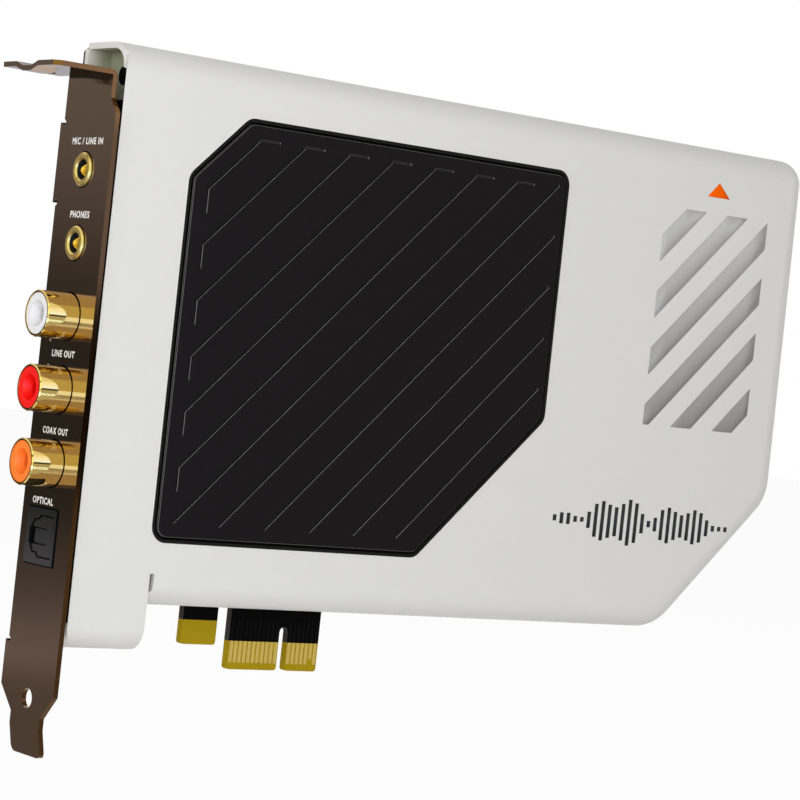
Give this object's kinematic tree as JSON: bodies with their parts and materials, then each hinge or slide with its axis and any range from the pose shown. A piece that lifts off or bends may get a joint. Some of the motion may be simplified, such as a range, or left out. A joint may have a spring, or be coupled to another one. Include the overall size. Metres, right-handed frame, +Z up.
{
  "type": "pci sound card",
  "caption": "Full-height sound card with a shrouded board, slot bracket, jacks, phono sockets, a shuttered optical socket and an x1 edge connector.",
  "frame": {"origin": "middle of the edge connector's key notch, on the connector's lower edge, halfway through the board", "axes": "+X along the card away from its bracket, +Z up out of the slot, -Y the component side with the shroud"},
  "size_m": [0.1782, 0.0206, 0.1252],
  "materials": {
    "solder_mask": "satin black solder mask on glass laminate",
    "gilt": "polished gilt",
    "bronze_plate": "polished dark bronze plating on steel",
    "screw_steel": "zinc-plated steel",
    "white_shell": "satin warm white",
    "black_panel": "satin black",
    "socket_grey": "moulded dark grey",
    "moulded_black": "moulded black",
    "can_metal": "drawn aluminium",
    "relay_white": "moulded white",
    "film_red": "dipped red",
    "tinned_pin": "tinned",
    "insulator_white": "moulded white",
    "insulator_red": "moulded red",
    "insulator_orange": "moulded orange"
  },
  "bodies": {
    "card": {"circuit_board": "solder_mask", "edge_contacts": "gilt", "bracket": "bronze_plate", "bracket_screws": "screw_steel", "shroud": "white_shell", "shroud_screws": "screw_steel", "inlay_panel": "black_panel", "optical_housing": "socket_grey", "shutter_pin": "screw_steel", "shutter_spring": "screw_steel", "optical_receiver": "moulded_black", "audio_processor": "moulded_black", "output_converter": "moulded_black", "input_converter": "moulded_black", "headphone_amplifier": "moulded_black", "bus_bridge": "moulded_black", "flash_memory": "moulded_black", "op_amps": "moulded_black", "clock_oscillators": "can_metal", "output_relays": "relay_white", "electrolytic_cans": "can_metal", "film_capacitors": "film_red", "power_inductors": "moulded_black", "voltage_regulators": "moulded_black", "mic_jack_collar": "gilt", "mic_jack_body": "moulded_black", "mic_jack_pins": "tinned_pin", "phones_jack_collar": "gilt", "phones_jack_body": "moulded_black", "phones_jack_pins": "tinned_pin", "left_phono_shell": "gilt", "left_phono_insulator": "insulator_white", "left_phono_sleeve": "gilt", "left_phono_body": "moulded_black", "left_phono_pins": "tinned_pin", "right_phono_shell": "gilt", "right_phono_insulator": "insulator_red", "right_phono_sleeve": "gilt", "right_phono_body": "moulded_black", "right_phono_pins": "tinned_pin", "coax_phono_shell": "gilt", "coax_phono_insulator": "insulator_orange", "coax_phono_sleeve": "gilt", "coax_phono_body": "moulded_black", "coax_phono_pins": "tinned_pin"},
    "shutter": {"optical_shutter": "socket_grey"}
  },
  "joints": [
    {"name": "shutter_hinge", "type": "hinge", "parent": "card", "child": "shutter", "pos_m": [-0.05472, -0.00245, 0.0229], "axis": [0, 0, 1], "range_deg": [0, 85], "stiffness_Nm_per_rad": 0.0005, "springref_deg": -22.92}
  ]
}
